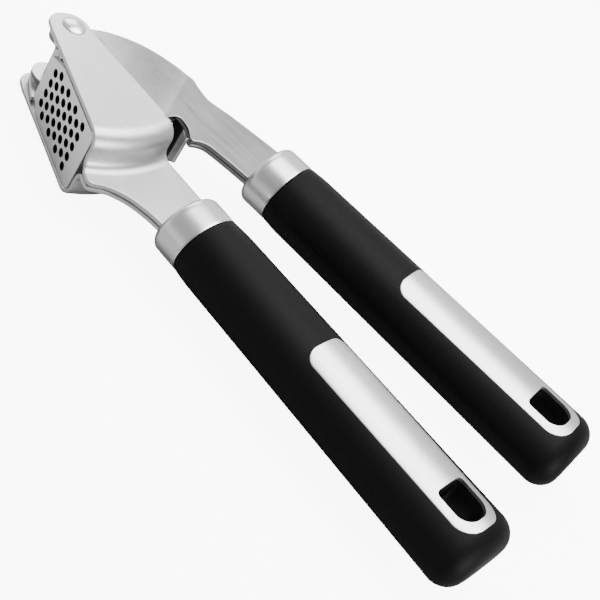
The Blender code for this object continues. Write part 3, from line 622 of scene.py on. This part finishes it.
def hole_liner(name, place):
    """Sleeve of the hanging hole: the section's loop (offset from the hole, height) carried round
    the D-shaped outline, with a rounded lip under the handle."""
    rows = []
    for spread, z in (*LINER_SECTION, LINER_SECTION[0]):
        outline = hole_outline(spread)
        rows.append(np.column_stack([outline, np.full(len(outline), z)]))
    return surface(name, to_world(np.stack(rows), *place), wrap=True, caps=False)


# ---------------------------------------------------------------- small parts


def build_rivet():
    """Rivet: an (r, z) profile turned about the pivot, the same above and below the middle."""
    face = CHEEK_OUTER + RIVET_PROUD
    low = math.radians(RIVET_DOME_START)
    dome = np.radians(np.linspace(90, RIVET_DOME_START, 14))
    top = np.stack([RIVET_DOME_RADIUS * np.cos(dome) / math.cos(low),
                    RIVET_STEP + RIVET_DOME_HALF_AXIS * (np.sin(dome) - math.sin(low))], axis=1)
    half = np.concatenate([top, RIVET_RIM]) + [0, face]
    half[0, 0] = 0.0
    profile = np.concatenate([half, (half * [1, -1])[::-1]])
    angle = np.linspace(0, 2 * math.pi, 72, endpoint=False)
    points = np.stack([profile[:, :1] * np.cos(angle), profile[:, :1] * np.sin(angle),
                       np.broadcast_to(profile[:, 1:], (len(profile), len(angle)))], axis=-1)
    rivet = surface("pivot_rivet_domes", to_world(points), wrap=True, caps=False)
    finish_piece(rivet, "basket_arm", LOOK["polished"], "pivot_rivet")


def shaded(piece, tone, edge=None):
    """Store the painted shade of each face of a piece: the tone at its centre, in millimetres from
    the pivot. With edge, the sheet's cut edges get that painted shade instead."""
    count = len(piece.data.polygons)
    centre, normal = np.empty(count * 3), np.empty(count * 3)
    piece.data.polygons.foreach_get("center", centre)
    piece.data.polygons.foreach_get("normal", normal)
    amount = tone((centre.reshape(-1, 3) - PIVOT) / MM)
    if edge is not None:
        amount = np.where(np.abs(normal[2::3]) < EDGE_SLANT, edge, amount)
    layer = piece.data.attributes.new("shade", 'FLOAT', 'FACE')
    layer.data.foreach_set("value", amount.astype(np.float32))


def painted_basket_shade(spot):
    """Painted shade: 1 on the inner walls of the basket and in its holes, 0 outside."""
    along = spot[:, 0] * math.cos(FACE_ANGLE) + spot[:, 1] * math.sin(FACE_ANGLE)
    above = spot[:, 1] * math.cos(FACE_ANGLE) - spot[:, 0] * math.sin(FACE_ANGLE)
    width = np.where(along < NARROW_END, NARROW_INSIDE, BASKET_INSIDE)
    inside = (above > 0.1 - FACE_DISTANCE) & (np.abs(spot[:, 2]) < width)
    return inside & (along > BASKET_START) & (along < BASKET_END)


def crease_run(plan):
    """Distance of plan points from the crease line, positive on the wedge."""
    return (plan - CREASE_POINT) @ np.array([math.sin(CREASE_ANGLE), -math.cos(CREASE_ANGLE)])


def arm_shade_and_highlight(spot):
    """Painted shade that darkens the press arm away from the pivot, and a painted highlight just
    inside the crease."""
    run = crease_run(spot[:, :2])
    ridge = RIDGE_LIGHT * smoothstep(1.0 + run / RIDGE_RISE)
    ridge *= np.exp(-np.maximum(run, 0.0) / RIDGE_FADE)
    away = (np.linalg.norm(spot[:, :2], axis=1) - ARM_SHADE_START) / ARM_SHADE_FADE
    return ARM_SHADE * smoothstep(away) - ridge


def basket_neck_shade(spot):
    """Painted shade: the basket arm's neck a little darker than its cheek."""
    away = np.linalg.norm(spot[:, :2] - STEP_CENTRE, axis=1) - NECK_SHADE_START
    return CHEEK_TONE + NECK_SHADE * smoothstep(away / NECK_SHADE_FADE)


def deepen_root(piece):
    """Lower the bottom edge of the stop plate towards its root, by a smooth step along X. The
    lowered part takes the root's painted shade and fills the gap under the stampings with it.
    """
    place = np.empty(len(piece.data.vertices) * 3)
    piece.data.vertices.foreach_get("co", place)
    spot = (place.reshape(-1, 3) - PIVOT) / MM
    drop = ROOT_DROP * smoothstep((ROOT_PLACE - spot[:, 0]) / ROOT_LENGTH)
    spot[:, 2] -= np.where(spot[:, 2] < 0, drop, 0)
    piece.data.vertices.foreach_set("co", (spot * MM + PIVOT).ravel())


def stop_plate_shade(spot):
    """Painted shade: 1 where the stop plate turns in under the stampings, 0 on its open end."""
    return smoothstep((STOP_SHADE_END - spot[:, 0]) / STOP_SHADE_FADE)


def refined(node, name, body, material, width):
    """Piece made from a CAD node: a merged copy of its mesh with every sharp edge rounded."""
    shape = bmesh.new()
    shape.from_mesh(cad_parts[node].data)
    bmesh.ops.remove_doubles(shape, verts=shape.verts, dist=0.000005)
    bmesh.ops.dissolve_limit(shape, angle_limit=math.radians(1.0), verts=shape.verts,
                             edges=shape.edges)
    mesh = bpy.data.meshes.new(name)
    shape.to_mesh(mesh)
    shape.free()
    piece = bpy.data.objects.new(name, mesh)
    bpy.context.scene.collection.objects.link(piece)
    soften(piece, width, 2, 40)
    finish_piece(piece, body, material, node)
    return piece


def build_stampings(arm, shape, material, tone, edge=None):
    """Both stampings of one arm, the lower one a mirror image of the upper."""
    for place, side, node in (("upper", 1, "front"), ("lower", -1, "back")):
        cheek = surface(f"{arm}_{place}_cheek", to_world(shape(side)), wrap=True)
        finish_piece(cheek, arm, material, f"{arm}_{node}_shell")
        shaded(cheek, tone, edge)


# ---------------------------------------------------------------- materials


def new_group(name, inputs, outputs):
    """Empty shader node group with named float or vector sockets."""
    group = bpy.data.node_groups.new(name, 'ShaderNodeTree')
    for label, kind in inputs:
        group.interface.new_socket(label, in_out='INPUT', socket_type=kind)
    for label, kind in outputs:
        group.interface.new_socket(label, in_out='OUTPUT', socket_type=kind)
    return group, group.nodes.new('NodeGroupInput'), group.nodes.new('NodeGroupOutput')


def feed(tree, socket, value):
    """Link an output to a socket, or set the socket to a plain value."""
    if isinstance(value, bpy.types.NodeSocket):
        tree.links.new(value, socket)
    else:
        socket.default_value = value


def link_math(tree, operation, *values):
    """Math node with values or links as its inputs; returns its output."""
    node = tree.nodes.new('ShaderNodeMath')
    node.operation = operation
    for socket, value in zip(node.inputs, values):
        feed(tree, socket, value)
    return node.outputs[0]


def mixed(tree, factor, a, b, blend='MIX'):
    """Mix node of two colours, each a value or a link; returns its output."""
    node = tree.nodes.new('ShaderNodeMix')
    node.data_type = 'RGBA'
    node.blend_type = blend
    for label, value in (("Factor", factor), ("A", a), ("B", b)):
        feed(tree, node.inputs[label], value)
    return node.outputs["Result"]


def stretched(tree, vector, scale):
    """Mapping node that scales a vector; returns its output."""
    node = tree.nodes.new('ShaderNodeMapping')
    node.inputs["Scale"].default_value = scale
    tree.links.new(vector, node.inputs["Vector"])
    return node.outputs["Vector"]


def noise(group, vector, scale, detail, roughness):
    """Noise texture on a vector; returns its value output."""
    node = group.nodes.new('ShaderNodeTexNoise')
    node.inputs["Scale"].default_value = scale
    node.inputs["Detail"].default_value = detail
    node.inputs["Roughness"].default_value = roughness
    group.links.new(vector, node.inputs["Vector"])
    return node.outputs["Fac"]


def grain_group():
    """Satin finish of ground sheet steel: fine streaks along X over broader ones, and uneven
    patches. Puts out a tint, a roughness and a height."""
    group, source, sink = new_group(
        "satin_grain",
        [("Vector", 'NodeSocketVector'), ("Roughness", 'NodeSocketFloat'),
         ("Streaks", 'NodeSocketFloat'), ("Patches", 'NodeSocketFloat')],
        [("Tint", 'NodeSocketFloat'), ("Roughness", 'NodeSocketFloat'),
         ("Height", 'NodeSocketFloat')])
    vector = source.outputs["Vector"]
    fine = noise(group, stretched(group, vector, FINE_STREAKS), 1.0, 3.0, 0.6)
    broad = noise(group, stretched(group, vector, BROAD_STREAKS), 1.0, 2.0, 0.5)
    patches = noise(group, vector, PATCH_SCALE, 4.0, 0.5)
    broad_part = link_math(group, 'MULTIPLY', link_math(group, 'SUBTRACT', broad, 0.5),
                           BROAD_SHARE)
    streak = link_math(group, 'ADD', link_math(group, 'SUBTRACT', fine, 0.5), broad_part)
    streak = link_math(group, 'MULTIPLY', streak, source.outputs["Streaks"])
    cloud = link_math(group, 'MULTIPLY', link_math(group, 'SUBTRACT', patches, 0.5),
                      source.outputs["Patches"])
    both = link_math(group, 'ADD', streak, cloud)
    group.links.new(link_math(group, 'ADD', 1.0, both), sink.inputs["Tint"])
    group.links.new(link_math(group, 'MULTIPLY_ADD', both, 0.5, source.outputs["Roughness"]),
                    sink.inputs["Roughness"])
    group.links.new(streak, sink.inputs["Height"])
    return group


def wear_group():
    """Handling wear on moulded rubber: fine pores, soft smudges and a little settled dust.
    Puts out a dust mask, a roughness and a height."""
    group, source, sink = new_group(
        "moulded_skin",
        [("Vector", 'NodeSocketVector'), ("Roughness", 'NodeSocketFloat'),
         ("Smudges", 'NodeSocketFloat')],
        [("Dust", 'NodeSocketFloat'), ("Roughness", 'NodeSocketFloat'),
         ("Height", 'NodeSocketFloat')])
    pores = noise(group, source.outputs["Vector"], PORE_SCALE, 2.0, 0.6)
    smudge = noise(group, source.outputs["Vector"], SMUDGE_SCALE, 4.0, 0.55)
    uneven = link_math(group, 'MULTIPLY', link_math(group, 'SUBTRACT', smudge, 0.5),
                       source.outputs["Smudges"])
    group.links.new(link_math(group, 'ADD', source.outputs["Roughness"], uneven),
                    sink.inputs["Roughness"])
    group.links.new(pores, sink.inputs["Height"])
    speck = link_math(group, 'MULTIPLY', link_math(group, 'SUBTRACT', pores, DUST_START), 0.5)
    group.links.new(link_math(group, 'MAXIMUM', speck, 0.0), sink.inputs["Dust"])
    return group


def new_material(name, colour, metallic):
    """Material with a Principled shader of that colour."""
    material = bpy.data.materials.new(name)
    material.use_nodes = True
    tree = material.node_tree
    shader = tree.nodes["Principled BSDF"]
    shader.inputs["Base Color"].default_value = (*colour, 1.0)
    shader.inputs["Metallic"].default_value = metallic
    material.diffuse_color = (*colour, 1.0)
    return material, tree, shader


def finish_node(tree, group, turn, **values):
    """Node of a finish group with its own values, on Object coordinates turned about Z."""
    place = tree.nodes.new('ShaderNodeTexCoord')
    mapping = tree.nodes.new('ShaderNodeMapping')
    mapping.inputs["Rotation"].default_value = (0, 0, -turn)
    tree.links.new(place.outputs["Object"], mapping.inputs["Vector"])
    finish = tree.nodes.new('ShaderNodeGroup')
    finish.node_tree = group
    tree.links.new(mapping.outputs["Vector"], finish.inputs["Vector"])
    for label, value in values.items():
        finish.inputs[label].default_value = value
    return finish.outputs


def finish_shader(tree, shader, colour, finish, strength, bump):
    """Feed a shader its colour, and the roughness and height of a finish."""
    tree.links.new(colour, shader.inputs["Base Color"])
    tree.links.new(finish["Roughness"], shader.inputs["Roughness"])
    height = tree.nodes.new('ShaderNodeBump')
    height.inputs["Strength"].default_value = strength
    height.inputs["Distance"].default_value = bump * MM
    tree.links.new(finish["Height"], height.inputs["Height"])
    tree.links.new(height.outputs["Normal"], shader.inputs["Normal"])


def steel(name, group, colour, roughness, streaks, patches, turn=0.0, bump=0.02):
    """Steel whose grain runs along X turned by an angle, with painted shade where the piece's
    "shade" attribute says so."""
    material, tree, shader = new_material(name, colour, 1.0)
    grain = finish_node(tree, group, turn, Roughness=roughness, Streaks=streaks, Patches=patches)
    tint = mixed(tree, 1.0, (*colour, 1.0), grain["Tint"], 'MULTIPLY')
    shade = tree.nodes.new('ShaderNodeAttribute')
    shade.attribute_name = "shade"
    finish_shader(tree, shader, mixed(tree, shade.outputs["Fac"], tint, PAINTED_SHADE_COLOUR), grain,
                  0.35, bump)
    return material


def moulded(name, group, colour, roughness, smudges, bump, specular):
    """Moulded black plastic or rubber with pores, smudges and a trace of dust."""
    material, tree, shader = new_material(name, colour, 0.0)
    shader.inputs["Specular IOR Level"].default_value = specular
    skin = finish_node(tree, group, 0.0, Roughness=roughness, Smudges=smudges)
    finish_shader(tree, shader, mixed(tree, skin["Dust"], (*colour, 1.0), DUST), skin, 0.3, bump)
    return material


def make_looks(settings):
    """All materials, once."""
    if LOOK:
        return
    grain, skin = grain_group(), wear_group()
    colour = tuple(settings.steel_colour)
    rough = settings.steel_roughness
    LOOK["cheek"] = steel("satin_steel_cheeks", grain, colour, rough * 1.3, 0.35, 0.35)
    LOOK["wedge"] = steel("satin_steel_press_arm", grain, colour, rough, 0.5, 0.4,
                          turn=PRESS_HANDLE[1])
    LOOK["collar"] = steel("satin_steel_collars", grain, colour, rough * 0.9, 0.18, 0.04)
    LOOK["plate"] = steel("satin_steel_inlays", grain, colour, rough * 1.1, 0.2, 0.04,
                          turn=math.pi / 2)
    # Painted light: the basket's and the plunger's steel is lighter than the arms' steel.
    LOOK["basket"] = steel("satin_steel_basket", grain, (0.9, 0.9, 0.895), rough * 1.2, 0.15, 0.1)
    LOOK["polished"] = steel("polished_steel_fittings", grain, (0.75, 0.75, 0.74), 0.3, 0.05,
                             0.05, bump=0.005)
    LOOK["soft"] = moulded("soft_touch_black", skin, tuple(settings.grip_colour), roughness=0.52,
                           smudges=0.08, bump=0.03, specular=0.08)
    LOOK["nylon"] = moulded("moulded_black_nylon", skin, (0.012, 0.012, 0.013), roughness=0.3,
                            smudges=0.1, bump=0.01, specular=0.5)


# ---------------------------------------------------------------- settings and operators


class PressSettings(bpy.types.PropertyGroup):
    """Colours and light that a user may change before building."""

    steel_colour: bpy.props.FloatVectorProperty(
        name="Steel colour", description="Base colour of the satin steel", subtype='COLOR',
        size=3, min=0, max=1, default=(0.64, 0.64, 0.635))
    steel_roughness: bpy.props.FloatProperty(
        name="Steel roughness", description="Middle roughness of the satin steel", subtype='FACTOR',
        min=0.05, max=1, default=0.34)
    grip_colour: bpy.props.FloatVectorProperty(
        name="Grip colour", description="Base colour of the soft grips", subtype='COLOR', size=3,
        min=0, max=1, default=(0.003, 0.003, 0.0031))
    floor_colour: bpy.props.FloatVectorProperty(
        name="Floor colour", description="Colour of the floor", subtype='COLOR', size=3,
        min=0, max=1, default=(0.9, 0.9, 0.9))
    floor_glow: bpy.props.FloatProperty(
        name="Floor glow", description="How brightly the floor shines where it is seen directly",
        min=0, default=8.0)
    floor_in_metal: bpy.props.FloatVectorProperty(
        name="Floor in the metal", description="Colour of the floor as the metal mirrors it",
        subtype='COLOR', size=3, min=0, max=1, default=(0.45, 0.45, 0.45))
    horizon: bpy.props.FloatProperty(
        name="Horizon", description="Brightness of the surroundings at the horizon", min=0,
        default=1.6)
    overhead: bpy.props.FloatProperty(
        name="Overhead", description="Brightness of the surroundings above", min=0, default=0.7)
    key_power: bpy.props.FloatProperty(
        name="Overhead softbox", description="Power of the soft light above the press",
        unit='POWER', min=0, default=4.0)
    fill_power: bpy.props.FloatProperty(
        name="Left softbox", description="Power of the soft light beyond the pivot",
        unit='POWER', min=0, default=0.7)
    back_power: bpy.props.FloatProperty(
        name="Back softbox", description="Power of the soft light behind the press arm",
        unit='POWER', min=0, default=0.15)
    side_power: bpy.props.FloatProperty(
        name="Right softbox", description="Power of the soft light beside the handles",
        unit='POWER', min=0, default=2.2)
    shaded_side: bpy.props.FloatProperty(
        name="Shaded side", description="Share of the brightness left on the right-hand side",
        subtype='FACTOR', min=0, max=1, default=0.35)


class PRESS_OT_basket_arm(bpy.types.Operator):
    """Build both stampings of the basket arm and its handle"""

    bl_idname = "press.basket_arm"
    bl_label = "Basket arm"

    def execute(self, context):
        make_looks(context.scene.press_settings)
        build_stampings("basket_arm", cheek_surface, LOOK["cheek"], basket_neck_shade)
        build_handle("basket_arm", BASKET_HANDLE)
        return {'FINISHED'}


class PRESS_OT_press_arm(bpy.types.Operator):
    """Build both stampings of the press arm, the bridge under them and the handle"""

    bl_idname = "press.press_arm"
    bl_label = "Press arm"

    def execute(self, context):
        make_looks(context.scene.press_settings)
        # Painted shade on the press arm and its cut edges, with a painted highlight inside the
        # crease.
        build_stampings("press_arm", press_surface, LOOK["wedge"], arm_shade_and_highlight, EDGE_SHADE)
        stop = refined("press_arm_bridge", "press_arm_stop_plate", "press_arm",
                       LOOK["wedge"], 0.25)
        # The stop plate's root is lowered into the gap under the stampings and painted in shade.
        deepen_root(stop)
        shaded(stop, stop_plate_shade)
        build_handle("press_arm", PRESS_HANDLE)
        return {'FINISHED'}


class PRESS_OT_working_parts(bpy.types.Operator):
    """Build the rivet and its washers, the basket, the plunger and its pin"""

    bl_idname = "press.working_parts"
    bl_label = "Pivot, basket and plunger"

    def execute(self, context):
        make_looks(context.scene.press_settings)
        build_rivet()
        for end in ("front", "back"):
            refined(f"pivot_washer_{end}", f"pivot_spacer_{end}", "basket_arm",
                    LOOK["polished"], 0.1)
        basket = refined("basket", "perforated_basket", "basket",
                         LOOK["basket"], 0.1)
        # Painted shade on the basket's inner walls and in its holes.
        shaded(basket, painted_basket_shade)
        refined("plunger", "plunger_foot", "plunger", LOOK["basket"], 0.2)
        refined("plunger_pin", "plunger_hinge_pin", "press_arm",
                LOOK["polished"], 0.2)
        for node, look in (("basket_arm_core", "nylon"), ("press_arm_core", "nylon"),
                           ("basket_arm_tang_pin", "polished"), ("press_arm_tang_pin", "polished")):
            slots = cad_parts[node].data.materials
            slots.clear()
            slots.append(LOOK[look])
        return {'FINISHED'}


def area_light(name, place, size, power):
    """Square soft light at a place, turned towards the middle of the press."""
    data = bpy.data.lights.new(name, 'AREA')
    data.size = size
    data.energy = power
    lamp = bpy.data.objects.new(name, data)
    bpy.context.scene.collection.objects.link(lamp)
    lamp.location = place
    lamp.rotation_euler = (-Vector(place)).to_track_quat('-Z', 'Y').to_euler()


def faded(tree, value, low, high, start, end):
    """Smooth step from start to end as a value goes from low to high."""
    node = tree.nodes.new('ShaderNodeMapRange')
    node.interpolation_type = 'SMOOTHSTEP'
    for label, number in (("From Min", low), ("From Max", high), ("To Min", start),
                          ("To Max", end)):
        node.inputs[label].default_value = number
    tree.links.new(value, node.inputs["Value"])
    return node.outputs["Result"]


def studio_world(horizon, overhead, shaded_side):
    """White surroundings, brighter at the horizon than overhead and darker towards +X."""
    world = bpy.data.worlds.new("soft_studio")
    world.use_nodes = True
    tree = world.node_tree
    place = tree.nodes.new('ShaderNodeTexCoord')
    parts = tree.nodes.new('ShaderNodeSeparateXYZ')
    tree.links.new(place.outputs["Generated"], parts.inputs["Vector"])
    height = faded(tree, parts.outputs["Z"], *SKY_HEIGHTS, horizon, overhead)
    side = faded(tree, parts.outputs["X"], *SKY_SIDES, 1.0, shaded_side)
    background = tree.nodes["Background"]
    background.inputs["Color"].default_value = (1, 1, 1, 1)
    tree.links.new(link_math(tree, 'MULTIPLY', height, side), background.inputs["Strength"])
    return world


def pale_floor(settings):
    """Floor that is pale and shines where it is seen directly, and greyer in the metal."""
    corners = FLOOR_HALF * np.array([[(-1, -1, 0), (1, -1, 0)], [(-1, 1, 0), (1, 1, 0)]])
    floor = surface("floor", corners, caps=False)
    colour = tuple(settings.floor_colour)
    material, tree, shader = new_material("pale_floor", colour, 0.0)
    shader.inputs["Roughness"].default_value = 0.9
    shader.inputs["Specular IOR Level"].default_value = 0.1
    shader.inputs["Emission Color"].default_value = (1, 1, 1, 1)
    direct = tree.nodes.new('ShaderNodeLightPath').outputs["Is Camera Ray"]
    tree.links.new(link_math(tree, 'MULTIPLY', direct, settings.floor_glow),
                   shader.inputs["Emission Strength"])
    paint = mixed(tree, direct, (*settings.floor_in_metal, 1.0), (*colour, 1.0))
    tree.links.new(paint, shader.inputs["Base Color"])
    floor.data.materials.append(material)


class PRESS_OT_stage(bpy.types.Operator):
    """Build the pale floor, the soft lights and the camera"""

    bl_idname = "press.stage"
    bl_label = "Stage"

    def execute(self, context):
        settings = context.scene.press_settings
        pale_floor(settings)
        context.scene.world = studio_world(settings.horizon, settings.overhead,
                                           settings.shaded_side)
        for name, place, size, power in LIGHTS:
            area_light(name, place, size, getattr(settings, power))
        camera = bpy.data.objects.new("camera", bpy.data.cameras.new("camera"))
        context.scene.collection.objects.link(camera)
        camera.location = CAMERA_PLACE
        camera.rotation_euler = [math.radians(angle) for angle in CAMERA_TURN]
        camera.data.lens = CAMERA_LENS
        camera.data.sensor_width = 36.0
        camera.data.clip_start = 0.01
        context.scene.camera = camera
        return {'FINISHED'}


class PRESS_PT_panel(bpy.types.Panel):
    """Lists the press's settings and its build steps"""

    bl_label = "Garlic press"
    bl_idname = "PRESS_PT_panel"
    bl_space_type = 'VIEW_3D'
    bl_region_type = 'UI'
    bl_category = "Garlic press"

    def draw(self, context):
        settings = context.scene.press_settings
        for name in PressSettings.__annotations__:
            self.layout.prop(settings, name)
        for operator in OPERATORS:
            self.layout.operator(operator.bl_idname)


OPERATORS = (PRESS_OT_basket_arm, PRESS_OT_press_arm, PRESS_OT_working_parts, PRESS_OT_stage)
CLASSES = (PressSettings, *OPERATORS, PRESS_PT_panel)


def register():
    """Register the classes and the settings."""
    for item in CLASSES:
        bpy.utils.register_class(item)
    bpy.types.Scene.press_settings = bpy.props.PointerProperty(type=PressSettings)


def unregister():
    """Take the settings and the classes out again."""
    del bpy.types.Scene.press_settings
    for item in reversed(CLASSES):
        bpy.utils.unregister_class(item)


def main():
    """Build everything in order."""
    register()
    for step in (bpy.ops.press.basket_arm, bpy.ops.press.press_arm, bpy.ops.press.working_parts,
                 bpy.ops.press.stage):
        step()


if __name__ == "__main__":
    main()
